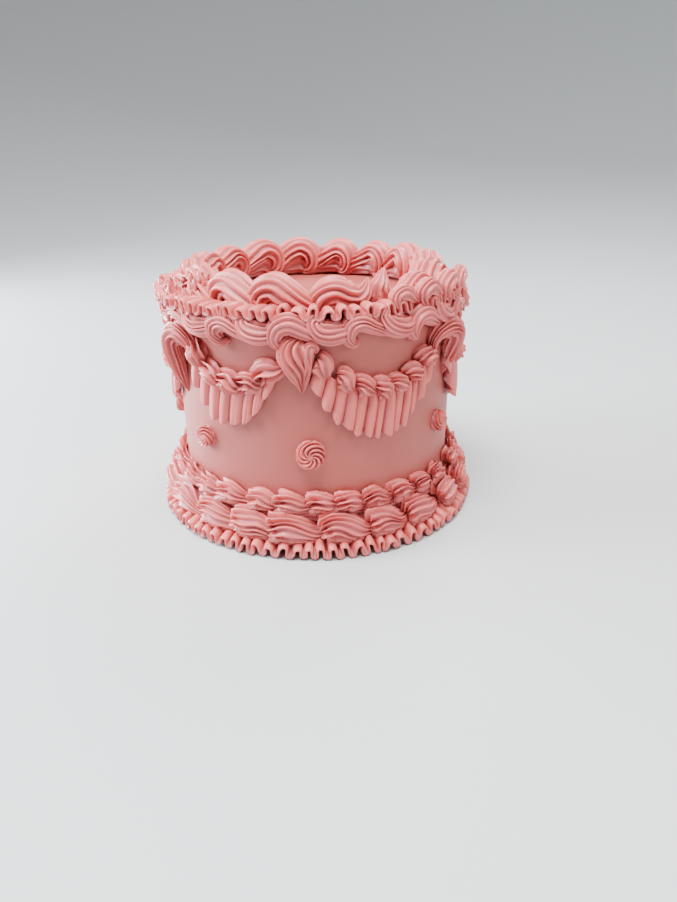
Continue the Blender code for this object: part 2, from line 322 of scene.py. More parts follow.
def pipe(
    bm,
    lay,
    knots,
    ridges,
    hidden=0,
    groove=None,
    crisp=1.1,
    twist=0.0,
    rows=44,
    fine=8,
    head=0.16,
    tail=0.06,
    seed=0,
    torn=0.0,
    foot=-0.4,
    start_angle=0.0,
    teeth=0.0,
    slant=0.0,
    sway=0.12,
    least_painted_shade=0.0,
):
    """Pipes one ridged stroke along the knots, each (x, y, lift, half width, half depth).

    ridges go round the stroke, or only round its outer side when hidden gives the number of plain
    faces at its back. head and tail are the shares of the stroke in which it swells and closes.
    crisp below 1 gives sharp crests, above 1 sharp grooves. teeth is how far back the crests stick
    out of the head, slant how much further back its upper side starts, sway how far the ridges
    wander round the stroke, torn roughens the crests near the head, and dusk is the hollow record's
    least value, a painted shade for icing that lies deep inside another stroke.
    """
    groove = sizes().ridge_depth if groove is None else groove
    wobble = sizes().wobble
    front = ridges * fine
    around = front + hidden
    depth = painted_shade_layer(bm)
    grid = bmesh.ops.create_grid(bm, x_segments=around, y_segments=rows, size=1)
    spine = [spine_row(knots, (row / rows) ** 1.3, tail) for row in range(rows + 1)]
    drift = Vector((seed * 3.17 % 50, seed * 1.73 % 50, seed * 2.29 % 50))
    for vert in grid["verts"]:
        column = round((vert.co.x + 1) / 2 * around) % around
        row = round((vert.co.y + 1) / 2 * rows)
        share, here, heading, bend, full = spine[row]
        x, y, lift, wide, deep = here
        turn = nozzle_turn(column, front, hidden)
        hollow = 0.0 if column > front else (0.5 - 0.5 * math.cos(2 * math.pi * column / fine)) ** crisp
        swell = min(share / (head * (1 - 0.6 * (1 - hollow) * min(teeth, 1))), 1)
        full *= rounded(swell)
        # Painted shade: deeper in a groove is darker, and dusk keeps buried icing at least that dark
        vert[depth] = max(hollow * min(share / 0.08, 1), least_painted_shade)
        ridge = Vector((math.cos(turn) * 1.6, math.sin(turn) * 1.6, share * 3)) + drift
        cut = groove * hollow * (1 + 0.25 * teeth * math.exp(-((share / 0.2) ** 2)))
        rise = 1 - cut * (1 + 0.5 * noise.noise(ridge * 1.3)) + 0.08 * noise.noise(ridge)
        if torn and hollow < 0.5:
            rise += torn * max(noise.noise(ridge * 9), -0.15) * max(1 - share / 0.7, 0)
        wander = sway * noise.noise(Vector((share * 2.6, math.cos(turn) * 0.8, math.sin(turn) * 0.8)) + drift)
        angle = turn + start_angle + twist * share + wander
        point = (1 - hollow) ** 2 * (1 + 0.9 * noise.noise(ridge * 2.1)) * (share > 0)
        rise += 0.045 * teeth * point * math.exp(-((share / 0.13) ** 2))
        back = teeth * point * math.exp(-((share / head) ** 2) * 1.5)
        back += slant * full * math.cos(angle) * math.exp(-((share / 0.35) ** 2))
        across = wide * full * rise * math.cos(angle)
        out = deep * full * rise * math.sin(angle)
        across = pinched(across, bend) if bend > 0 else -pinched(-across, -bend) if bend < 0 else across
        spot = Vector((x, y, lift)) * 0.11 + drift
        shift = noise.noise_vector(spot) * wobble
        vert.co = lay(
            x - across * math.sin(heading) - back * math.cos(heading) + shift.x * full,
            y + across * math.cos(heading) - back * math.sin(heading) + shift.y * full,
            max(lift + out + 0.4 * shift.z * full, foot),
        )
    bmesh.ops.remove_doubles(bm, verts=grid["verts"], dist=WELD)


def ribbon(bm, turns, steps, across, edge_at, thickness, ring=True):
    """A folded band with rounded edges. edge_at(turn, share) gives a point of its middle surface."""
    depth = painted_shade_layer(bm)
    columns = turns * steps
    rows = 2 * across
    grid = bmesh.ops.create_grid(bm, x_segments=rows, y_segments=columns, size=1)
    nudge = 0.02
    for vert in grid["verts"]:
        row = round((vert.co.x + 1) / 2 * rows) % rows
        column = round((vert.co.y + 1) / 2 * columns)
        at_end = not ring and column in (0, columns)
        turn = (column % columns if ring else column) / steps
        spread = 0.5 - 0.5 * math.cos(math.pi * (row / across))
        middle = edge_at(turn, spread)
        along = edge_at(turn + nudge, spread) - edge_at(turn - nudge, spread)
        over = edge_at(turn, min(spread + nudge, 1)) - edge_at(turn, max(spread - nudge, 0))
        normal = along.cross(over)
        normal.normalize()
        side = math.sin(math.pi * row / across)
        fat = abs(side) ** 0.55 * (1 if side > 0 else -1)
        vert.co = middle + normal * (0 if at_end else thickness * MM / 2 * fat)
        # Painted shade in the valleys between the pleats
        vert[depth] = (0.5 - 0.5 * math.cos(2 * math.pi * (turn if ring else turn + 0.5))) ** 2
    bmesh.ops.remove_doubles(bm, verts=grid["verts"], dist=WELD)


def roughen(bm, amount, torn):
    """Lets the whole surface waver by an amount, and tears it on the left, both in millimetres."""
    for vert in bm.verts:
        azimuth = math.atan2(vert.co.x, -vert.co.y)
        side = math.exp(-(((azimuth - TORN_PLACE) / TORN_SPREAD) ** 2))
        waver = noise.noise_vector(vert.co * 420) * amount
        tear = noise.noise_vector(vert.co * 1500) * (torn * side)
        vert.co += (waver + tear) * MM


def uneven_rings(count, seed, jitter, span):
    """A smooth uneven value for each turn of a ring of pleats, which meets itself at the end."""
    hand = random.Random(seed)
    values = [hand.uniform(-1, 1) for _ in range(count)]

    def value(turn):
        low = math.floor(turn / span)
        share = turn / span - low
        blend = share * share * (3 - 2 * share)
        last = max(count // span, 1)
        return jitter * (values[low % last] * (1 - blend) + values[(low + 1) % last] * blend)

    return value


# Icing


class Socket:
    """A shader socket that Python's operators work on, adding the Math nodes they need."""

    def __init__(self, tree, source):
        self.tree = tree
        self.source = source

    def node(self, kind, settings=None, output=0, **inputs):
        """Any other node: its type, its settings, and its sockets' values or links."""
        made = self.tree.nodes.new(kind)
        for name, value in (settings or {}).items():
            if name == "stops":
                ramp = made.color_ramp
                while len(ramp.elements) < len(value):
                    ramp.elements.new(1)
                for element, (place, colour) in zip(ramp.elements, value):
                    element.position = place
                    element.color = colour
            else:
                setattr(made, name, value)
        for name, value in inputs.items():
            key = int(name[1:]) if name[0] == "_" and name[1:].isdigit() else name.replace("_", " ")
            target = made.inputs[key]
            if isinstance(value, Socket):
                self.tree.links.new(value.source, target)
            else:
                target.default_value = value
        return Socket(self.tree, made.outputs[output])

    def maths(self, operation, first, second):
        """A Math node on two numbers or sockets."""
        return self.node("ShaderNodeMath", {"operation": operation}, _0=first, _1=second)

    def __add__(self, other):
        return self.maths("ADD", self, other)

    def __radd__(self, other):
        return self.maths("ADD", other, self)

    def __sub__(self, other):
        return self.maths("SUBTRACT", self, other)

    def __rsub__(self, other):
        return self.maths("SUBTRACT", other, self)

    def __mul__(self, other):
        return self.maths("MULTIPLY", self, other)

    def __rmul__(self, other):
        return self.maths("MULTIPLY", other, self)

    def __pow__(self, other):
        return self.maths("POWER", self, other)

    def into(self, shader, name):
        """Links this socket to one of the shader's own."""
        self.tree.links.new(self.source, shader.inputs[name])


def buttercream(name, smooth):
    """Buttercream: a satin, faintly see-through fat with fine air bubbles and uneven dye, with painted shade
    in its grooves and pits.
    """
    made = bpy.data.materials.new(name)
    made.use_nodes = True
    tree = made.node_tree
    shader = tree.nodes["Principled BSDF"]
    shader.inputs["Metallic"].default_value = 0
    shader.inputs["Subsurface Weight"].default_value = 0.1
    shader.inputs["Subsurface Radius"].default_value = (0.7, 0.4, 0.35)
    shader.inputs["Subsurface Scale"].default_value = 0.0012
    shader.inputs["IOR"].default_value = 1.45
    shader.inputs["Specular IOR Level"].default_value = 0.5
    where = Socket(tree, tree.nodes.new("ShaderNodeTexCoord").outputs["Object"])
    cloud = where.node("ShaderNodeTexNoise", Vector=where, Scale=28.0, Detail=4.0, Roughness=0.55)
    fine = where.node("ShaderNodeTexNoise", Vector=where, Scale=900.0, Detail=3.0, Roughness=0.6)
    pits = where.node("ShaderNodeTexVoronoi", {"feature": "F1"}, Vector=where, Scale=520.0)
    streaks = where.node(
        "ShaderNodeTexNoise",
        Vector=where.node("ShaderNodeMapping", Vector=where, Scale=(1.0, 1.0, 0.13 if smooth else 0.8)),
        Scale=95.0 if smooth else 140.0,
        Detail=3.0,
    )
    # The smooth icing takes darker pinks, a painted shade for the upright body
    pink = (*(look().shaded_smooth_pink if smooth else look().pink), 1)
    deep = (*(look().shaded_smooth_deep_pink if smooth else look().deep_pink), 1)
    crease = (*look().painted_shade_pink, 1)
    dye = cloud * 0.7 + streaks * 0.5 - 0.1
    # Painted shade: the hollow record darkens the grooves, the pleats' valleys and the buried strokes towards
    # the crease colour
    hollow = where.node("ShaderNodeAttribute", {"attribute_name": "hollow"}, "Fac")
    blend = {"data_type": "RGBA"}
    colour = where.node("ShaderNodeMix", blend, 2, _0=dye, _6=pink, _7=deep)
    colour = where.node("ShaderNodeMix", blend, 2, _0=hollow ** 2.3 * 0.66, _6=colour, _7=crease)
    rough = 0.38 + cloud * 0.12 + fine * 0.12 if smooth else 0.28 + cloud * 0.14 + fine * 0.10
    rough.into(shader, "Roughness")
    bubble = where.node(
        "ShaderNodeValToRGB",
        {"stops": ((0.0, (0, 0, 0, 1)), (0.22, (1, 1, 1, 1)))},
        Fac=pits,
    )
    if smooth:
        dots = where.node("ShaderNodeTexVoronoi", {"feature": "F1"}, Vector=where, Scale=75.0)
        speck = where.node(
            "ShaderNodeValToRGB",
            {"stops": ((0.035, (1, 1, 1, 1)), (0.06, (0, 0, 0, 1)))},
            Fac=dots + cloud * 0.16 - 0.075,
        )
        # Painted shade in the pits: the specks, pressed in by the bump, are darkened towards the crease
        # colour
        colour = where.node("ShaderNodeMix", blend, 2, _0=speck * 0.6, _6=colour, _7=crease)
        bubble = bubble - speck * 3.0
    colour.into(shader, "Base Color")
    relief = fine * 0.5 + streaks * (1.1 if smooth else 0.5) + bubble * 0.25
    bump = where.node("ShaderNodeBump", Strength=0.55, Distance=0.00022, Height=relief)
    bump.into(shader, "Normal")
    return made


def finished(name, bm, nodes, slot_name):
    """Makes the finished piece: faces outwards, smooth, riding on the cake in place of its solids."""
    bmesh.ops.recalc_face_normals(bm, faces=bm.faces)
    for face in bm.faces:
        face.smooth = True
    mesh = bpy.data.meshes.new(name)
    bm.to_mesh(mesh)
    bm.free()
    piece = bpy.data.objects.new(name, mesh)
    bpy.context.scene.collection.objects.link(piece)
    piece.data.materials.append(bpy.data.materials[slot_name])
    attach(piece, "root")
    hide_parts(*nodes)
    return piece


# The strokes, drawn flat in millimetres: x, y, lift, half width, half depth

ROLLED_SHELL = (
    (4.6, 4.2, 3.4, 3.4, 4.4),
    (0.4, 2.6, 2.8, 5.2, 7.0),
    (-3.0, 6.4, 2.4, 6.6, 8.8),
    (-1.6, 12.0, 2.2, 7.0, 9.4),
    (3.6, 14.4, 2.6, 7.0, 9.4),
    (9.4, 11.6, 3.2, 6.8, 9.2),
    (15.4, 7.8, 3.6, 6.0, 8.2),
    (21.0, 5.2, 3.6, 4.8, 6.8),
    (26.5, 4.0, 3.2, 3.6, 4.8),
    (31.0, 3.4, 3.0, 2.2, 3.0),
)
TIPPED_SHELL = (
    (4.0, 2.0, 3.0, 4.5, 5.5),
    (-0.8, 4.0, 2.6, 5.8, 7.4),
    (-0.4, 9.4, 2.4, 6.6, 8.8),
    (4.4, 12.6, 2.6, 7.2, 9.4),
    (10.0, 10.6, 3.4, 7.2, 9.2),
    (14.8, 10.0, 4.2, 6.2, 8.0),
    (18.2, 12.6, 5.0, 3.8, 5.2),
    (20.2, 18.4, 5.4, 0.6, 0.8),
)
STAR_PEAK = (
    (1.0, 2.0, 2.6, 7.0, 6.5),
    (0.0, 7.0, 3.2, 7.4, 7.5),
    (-0.6, 12.0, 3.4, 6.0, 6.4),
    (0.4, 16.5, 3.2, 3.8, 4.4),
    (2.0, 22.0, 2.8, 0.6, 0.8),
)
LOW_CURL = (
    (4.0, 3.0, 5.0, 3.5, 4.5),
    (-0.6, 3.0, 4.6, 5.0, 6.4),
    (-1.0, 8.0, 4.2, 5.6, 7.2),
    (3.8, 11.4, 4.2, 5.8, 7.4),
    (9.0, 8.6, 4.6, 5.4, 7.0),
    (14.0, 6.0, 4.4, 4.4, 6.0),
    (20.0, 5.0, 3.6, 2.6, 4.0),
)
SHELL_CORE = (
    (-1.0, 3.0, 2.4, 5.0, 5.6),
    (4.0, 6.4, 2.8, 7.0, 6.8),
    (10.0, 6.0, 3.0, 6.6, 6.6),
    (17.0, 4.0, 3.0, 5.0, 5.6),
    (24.0, 2.4, 3.0, 2.4, 3.0),
)
RIM_CURL = (
    (4.0, 0.4, 0.8, 1.8, 2.4),
    (0.2, 0.2, 1.8, 3.2, 3.8),
    (-0.6, 3.8, 2.2, 4.0, 4.6),
    (3.0, 6.2, 2.4, 4.4, 4.8),
    (7.4, 4.4, 2.2, 4.0, 4.2),
    (12.0, 1.6, 1.4, 2.6, 3.2),
    (16.0, 0.4, 0.4, 0.6, 0.8),
)
LARGE_SHELL = (
    (0.0, 1.0, 4.6, 8.4, 7.4),
    (2.6, 1.2, 5.2, 9.2, 8.4),
    (7.5, 0.2, 5.0, 8.8, 8.4),
    (12.5, -1.6, 4.4, 7.2, 7.4),
    (18.0, -3.4, 3.4, 5.4, 5.8),
    (24.0, -4.4, 2.2, 3.8, 4.0),
    (30.0, -4.6, 1.2, 2.0, 2.2),
)
SMALL_SHELL = (
    (0.0, 2.0, 1.6, 5.2, 5.0),
    (2.0, 2.2, 2.2, 5.9, 5.8),
    (5.2, 1.2, 1.9, 5.3, 5.5),
    (9.2, -0.6, 1.0, 3.8, 4.0),
    (13.4, -1.8, 0.3, 2.3, 2.4),
    (17.5, -2.2, -0.4, 0.9, 1.0),
)
GARLAND_SHELL = (
    (0.0, 0.8, 1.0, 4.6, 4.2),
    (2.0, 1.2, 2.0, 6.0, 5.8),
    (4.8, 0.4, 2.2, 5.8, 6.2),
    (7.8, -0.9, 1.6, 4.2, 4.8),
    (11.0, -1.4, 0.8, 2.4, 2.6),
    (14.5, -1.2, 0.4, 1.0, 1.0),
)
ARCHED_SCROLL = (
    (5.6, -6.6, 0.8, 1.2, 1.6),
    (2.2, -8.0, 1.6, 2.4, 3.2),
    (-0.6, -4.6, 2.4, 3.8, 4.6),
    (0.8, 0.6, 2.8, 4.8, 5.2),
    (6.0, 2.4, 3.0, 5.2, 5.4),
    (12.0, -0.6, 2.4, 4.4, 5.0),
    (18.0, -3.4, 1.6, 3.2, 3.8),
    (24.0, -4.2, 0.8, 1.6, 2.2),
)
DIPPED_SCROLL = (
    (3.0, 5.2, 1.2, 2.6, 3.4),
    (0.4, 3.4, 2.2, 4.6, 4.8),
    (2.4, -0.6, 3.0, 5.8, 5.6),
    (7.8, -2.8, 3.0, 6.0, 5.6),
    (13.6, -2.4, 2.2, 5.0, 4.8),
    (19.0, -0.6, 1.2, 2.8, 3.4),
    (23.5, 1.4, 0.6, 1.2, 1.6),
)
PLAIN_DROP = (
    (1.4, 1.0, 1.0, 5.0, 4.5),
    (-0.4, -2.5, 2.0, 7.8, 6.8),
    (-1.0, -7.5, 2.2, 8.4, 7.6),
    (-0.4, -13.0, 1.8, 7.4, 6.6),
    (0.6, -18.5, 1.2, 5.0, 4.6),
    (1.0, -23.0, 0.6, 2.4, 2.4),
    (0.8, -26.5, 0.0, 0.5, 0.5),
)
DROP_HOOD = (
    (7.8, -7.0, 2.4, 0.8, 1.2),
    (8.0, -4.0, 3.6, 1.7, 2.2),
    (5.9, -2.6, 4.8, 2.6, 3.0),
    (4.2, -6.0, 5.4, 2.9, 3.2),
    (3.8, -12.5, 4.4, 2.6, 2.9),
    (2.4, -19.5, 2.6, 1.5, 1.9),
    (1.1, -25.0, 0.8, 0.3, 0.4),
)
ROLLED_DROP = (
    (5.0, -19.0, 0.6, 2.0, 2.2),
    (7.2, -13.5, 0.8, 3.6, 3.6),
    (5.2, -7.6, 2.6, 5.0, 4.8),
    (0.0, -4.6, 4.6, 6.2, 5.8),
    (-5.8, -7.8, 6.0, 6.2, 5.6),
    (-8.4, -15.0, 5.4, 5.8, 5.4),
    (-8.6, -22.8, 3.8, 4.8, 4.6),
    (-8.2, -30.6, 1.8, 2.8, 2.8),
    (-7.6, -37.5, 0.0, 0.4, 0.4),
)


def varied(knots, hand, amount):
    """The same stroke from a hand that is never twice the same."""
    grow = 1 + hand.uniform(-amount, amount)
    return [
        tuple(value * grow * (1 + hand.uniform(-amount, amount) * 0.5) for value in knot)
        for knot in knots
    ]


def spun(bm, profile, steps, weld):
    """Spins a profile round the upright axis and closes the seam."""
    verts = [bm.verts.new(point) for point in profile]
    edges = [bm.edges.new(pair) for pair in zip(verts, verts[1:])]
    bmesh.ops.spin(
        bm,
        geom=verts + edges,
        cent=(0, 0, 0),
        axis=(0, 0, 1),
        angle=2 * math.pi,
        steps=steps,
        use_merge=True,
    )
    bmesh.ops.remove_doubles(bm, verts=bm.verts, dist=weld)


def make_body():
    """The smooth cake, with the faint waves, streaks and pits that a scraper leaves."""
    bm = bmesh.new()
    radius = BODY_RADIUS * MM
    height = BODY_HEIGHT * MM
    edge = 3 * MM
    profile = [Vector(((radius - edge) * step / 12, 0, height)) for step in range(12)]
    profile += [
        Vector((
            radius - edge * (1 - math.sin(math.radians(15 * step))),
            0,
            height - edge * (1 - math.cos(math.radians(15 * step))),
        ))
        for step in range(7)
    ]
    profile += [Vector((radius, 0, (height - edge) * (1 - step / 56))) for step in range(1, 57)]
    profile += [Vector((radius * 0.5, 0, 0)), Vector((0, 0, 0))]
    spun(bm, profile, 256, WELD)
    for vert in bm.verts:
        flat = Vector((vert.co.x, vert.co.y, 0))
        share = min(flat.length / radius, 1)
        if vert.co.z < 1e-6 or share < 0.02:
            continue
        wave = noise.noise(Vector((vert.co.x * 22, vert.co.y * 22, vert.co.z * 9)))
        scrape = noise.noise(Vector((vert.co.x * 160, vert.co.y * 160, vert.co.z * 10)))
        inward = (0.14 * wave + 0.05 * scrape - 0.17) * MM
        if vert.co.z > height - 0.2 * MM:
            vert.co.z += inward
        else:
            vert.co += flat.normalized() * inward
    return bm


def pleated(turn, pleats, spread, inner, outer, rise, curl, hand):
    """A point of a pleated band: spread runs from its inner edge to its outer one."""
    phase = 2 * math.pi * turn
    tall = (rise[0] + (rise[1] - rise[0]) * spread) * (1 + hand["depth"](turn))
    fold = curl * math.sin(2 * phase) + hand["fold"](turn) * math.cos(phase)
    push = (fold + hand["lean"](turn)) * spread + hand["pace"](turn)
    azimuth = (turn + push) * 360 / pleats
    radius = inner[0] + (outer[0] - inner[0]) * spread
    bulge = math.sin(math.pi * spread) * 0.7
    z = inner[1] + (outer[1] - inner[1]) * spread + bulge + tall * math.cos(phase)
    return on_cylinder(azimuth, radius, z)(0, 0, 0)


def pleating_hand(pleats, seed, depth, lean, reach):
    """How unevenly a hand folds a frill: the pleats' depth, lean, pace, reach and fold."""
    return {
        "depth": uneven_rings(pleats, seed, depth, 1),
        "lean": uneven_rings(pleats, seed + 1, lean, 2),
        "pace": uneven_rings(pleats, seed + 2, 0.26, 2),
        "fold": uneven_rings(pleats, seed + 4, 0.17, 1),
        "reach": uneven_rings(pleats, seed + 3, reach, 1),
    }


def make_foot_frill():
    """The pleated frill that lies round the foot."""
    pleats = sizes().foot_pleats
    hand = pleating_hand(pleats, 5, 0.28, 0.3, 0.55)
    bm = bmesh.new()

    def edge_at(turn, spread):
        outer = (FOOT_FRILL_OUTER[0] + hand["reach"](turn), FOOT_FRILL_OUTER[1])
        return pleated(turn, pleats, spread, FOOT_FRILL_INNER, outer, (1.6, 2.6), 0.095, hand)

    ribbon(bm, pleats, 18, 9, edge_at, 1.8)
    roughen(bm, 0.08, 0)
    for vert in bm.verts:
        vert.co.z = max(vert.co.z, 0)
    return bm


def make_rim_frill():
    """The pleated frill round the top edge, with its dents, loose curls and torn peaks."""
    pleats = sizes().rim_pleats
    hand = pleating_hand(pleats, 15, 0.3, 0.32, 1.1)
    bm = bmesh.new()

    def edge_at(turn, spread):
        azimuth = 2 * math.pi * turn / pleats
        reach = RIM_FRILL_OUTER[0] + hand["reach"](turn) - 1.6 * math.sin(azimuth)
        for place, dent in RIM_DENTS:
            away = math.remainder(azimuth - math.radians(place), 2 * math.pi)
            reach -= dent * math.exp(-((away / DENT_WIDTH) ** 2))
        outer = (reach, RIM_FRILL_OUTER[1])
        return pleated(turn, pleats, spread, RIM_FRILL_INNER, outer, (1.7, 2.6), 0.1, hand)

    ribbon(bm, pleats, 18, 10, edge_at, 1.9)
    hand = random.Random(41)
    for azimuth, grow in RIM_CURLS:
        knots = [tuple(value * grow for value in knot) for knot in varied(RIM_CURL, hand, 0.06)]
        lay = on_cylinder(azimuth, 76.5, 122.2)
        pipe(bm, lay, knots, 9, rows=32, twist=0.5, seed=azimuth, foot=NO_FOOT, groove=0.3, sway=0.4,
             torn=0.15)
    pipe_torn_peaks(bm, -86, -46, 44, 31, (70, 81.5), (121, 124.5))
    pipe_torn_peaks(bm, -66, -50, 18, 32, (63, 70), (126, 131))
    pipe_torn_peaks(bm, 34, 62, 10, 33, (72, 80), (122, 125))
    roughen(bm, 0.1, 0.8)
    return bm


def pipe_torn_peaks(bm, low, high, count, seed, radii, heights):
    """Small ragged peaks where the nozzle spluttered, between two azimuths on the rim."""
    hand = random.Random(seed)
    for index in range(count):
        azimuth = hand.uniform(low, high)
        lay = on_cylinder(azimuth, hand.uniform(*radii), hand.uniform(*heights))
        size = hand.uniform(1.1, 2.5)
        lean = hand.uniform(-2.5, 2.5)
        out = hand.uniform(-0.5, 2.5)
        knots = (
            (0, -2.0, 0, size * 1.5, size * 1.3),
            (lean * 0.2, 0.4, out * 0.3, size * 1.2, size),
            (lean * 0.5, 2.0, out * 0.7, size * 0.7, size * 0.6),
            (lean, 3.6 * size ** 0.5, out, 0.15, 0.15),
        )
        pipe(bm, lay, knots, 5, rows=9, fine=4, seed=seed + index, groove=0.35, torn=0.5, tail=0.2,
             foot=NO_FOOT)


def make_top_shells():
    """The rolled shells on the rim, each round a core, with a drawn tip and a star peak in front."""
    hand = random.Random(3)
    bm = bmesh.new()
    for index, azimuth in enumerate(TOP_SHELL_HEADS):
        shape = {3: TIPPED_SHELL, 4: STAR_PEAK, 5: LOW_CURL}.get(index, ROLLED_SHELL)
        knots = varied(shape, hand, 0.04)
        lay = on_cylinder(azimuth, TOP_SHELL_RADIUS, BODY_HEIGHT + 0.4)
        pipe(bm, lay, knots, 11, rows=52, twist=hand.uniform(0.2, 0.9), seed=index + 1, foot=NO_FOOT,
             groove=0.27, start_angle=hand.uniform(0, 0.5), head=0.1, sway=0.4,
             torn=0.3 if index in (0, 4, 15) else 0.04)
        if shape is not STAR_PEAK:
            # The core lies under its shell and is painted in shade
            core = varied(SHELL_CORE, hand, 0.05)
            pipe(bm, lay, core, 9, rows=18, twist=0.5, seed=index + 21, foot=NO_FOOT, groove=0.27,
                 sway=0.4, least_painted_shade=0.8)
    roughen(bm, 0.12, 0.8)
    for vert in bm.verts:
        vert.co.z = max(vert.co.z, BODY_HEIGHT * MM)
    return bm


def make_large_shells():
    """The large shells over the foot frill: listed one by one in front, evenly spaced behind."""
    hand = random.Random(21)
    heads = list(LARGE_SHELL_HEADS)
    for step in range(1, LARGE_SHELLS_BEHIND + 1):
        heads.append(LARGE_SHELL_HEADS[-1] + LARGE_SHELL_PITCH * step + hand.uniform(-1, 1))
    bm = bmesh.new()
    for index, azimuth in enumerate(heads):
        knots = varied(LARGE_SHELL, hand, 0.05)
        lay = on_cylinder(azimuth + 0.8, BODY_RADIUS, LARGE_SHELL_HEIGHT)
        pipe(bm, lay, knots, 12, hidden=5, rows=42, twist=-hand.uniform(0.0, 0.35), seed=index + 40,
             crisp=0.6, groove=0.22, torn=0.12, head=0.045, teeth=3.2, slant=2.2, sway=0.5)
    return bm


def make_small_shells():
    """The small shells over the large ones, and a ring painted in shade that fills the gaps under them."""
    hand = random.Random(22)
    heads = list(SMALL_SHELL_HEADS)
    for step in range(1, SMALL_SHELLS_BEHIND + 1):
        heads.append(SMALL_SHELL_HEADS[-1] + SMALL_SHELL_PITCH * step + hand.uniform(-0.8, 0.8))
    bm = bmesh.new()
    for index, azimuth in enumerate(heads):
        knots = varied(SMALL_SHELL, hand, 0.07)
        lay = on_cylinder(azimuth + 0.6, BODY_RADIUS, SMALL_SHELL_HEIGHT)
        pipe(bm, lay, knots, 8, hidden=5, rows=34, twist=-hand.uniform(0.0, 0.4), seed=index + 80,
             crisp=0.55, groove=0.36, torn=0.18, head=0.07, teeth=4.6, slant=0.8, sway=0.5)
    under_ring = [(x, 0.0, 0.4, 4.6, 3.4) for x in range(-242, 243, 22)]
    lay = on_cylinder(0, BODY_RADIUS, UNDER_RING_HEIGHT)
    # The under ring is painted in shade all over
    pipe(bm, lay, under_ring, 7, hidden=4, rows=120, fine=6, head=0.01, tail=0.01, seed=9, least_painted_shade=0.85)
    return bm


def make_scrolls():
    """The scrolls under the top edge, arched and dipped in turn."""
    hand = random.Random(23)
    bm = bmesh.new()
    for index in range(SCROLLS):
        shape = ARCHED_SCROLL if index % 2 == 0 else DIPPED_SCROLL
        azimuth = -36.0 + 360 / SCROLLS * index + hand.uniform(-0.6, 0.6)
        knots = varied(shape, hand, 0.05)
        lay = on_cylinder(azimuth, BODY_RADIUS, SCROLL_HEIGHT + index % 2 + hand.uniform(-0.4, 0.4))
        pipe(bm, lay, knots, 9, hidden=5, rows=42, twist=hand.uniform(-0.3, 0.3), seed=index + 120,
             groove=0.24, sway=0.4, head=0.1, torn=0.05)
    return bm


def swag_span(number):
    """A swag's middle, as an azimuth, and half its width in millimetres, clear of the drops."""
    start = JOINTS[number]
    end = JOINTS[number + 1] if number + 1 < len(JOINTS) else JOINTS[0] + 360
    middle = (start + end) / 2
    half = math.radians(end - start) / 2 * BODY_RADIUS - 8
    return middle, half


def swag_height(offset, half, low):
    """How high a swag hangs above its lowest point, at this distance from its middle."""
    return (SWAG_TOP - low) * abs(offset / half) ** 2.2


def make_garland(number):
    """The shells along a swag, each turned to the swag's slope."""
    hand = random.Random(200 + number)
    middle, half = swag_span(number)
    bm = bmesh.new()
    low = SWAG_LOWS[number]
    lay = on_cylinder(middle, BODY_RADIUS, low)
    spiky = number in SPIKY_SWAGS
    count = round(2 * half / (9.6 if spiky else 9.0))
    if spiky:
        stroke = {"crisp": 0.6, "groove": 0.48, "head": 0.08, "teeth": 3.4, "slant": 0.2}
    else:
        stroke = {"crisp": 0.75, "groove": 0.4, "head": 0.2, "teeth": 0.8, "slant": 0.8}
    for index in range(count):
        offset = -half + (2 * half - 9) * index / (count - 1)
        y = swag_height(offset, half, low)
        ahead = swag_height(offset + 5, half, low)
        slope = math.atan2(ahead - y, 5) + hand.uniform(-0.2, 0.1)
        grow = hand.uniform(0.9, 1.08)
        knots = []
        for x, up, lift, wide, deep in GARLAND_SHELL:
            knots.append((
                offset + (x * math.cos(slope) - up * math.sin(slope)) * grow,
                y + (x * math.sin(slope) + up * math.cos(slope)) * grow,
                lift,
                wide * grow,
                deep * grow,
            ))
        twist = hand.uniform(0.1, 0.5) if spiky else 0.8
        seed = 300 + 20 * number + index
        pipe(bm, lay, knots, 9 if spiky else 10, rows=34, twist=twist, seed=seed, torn=0.12, sway=0.5,
             **stroke)
    return bm


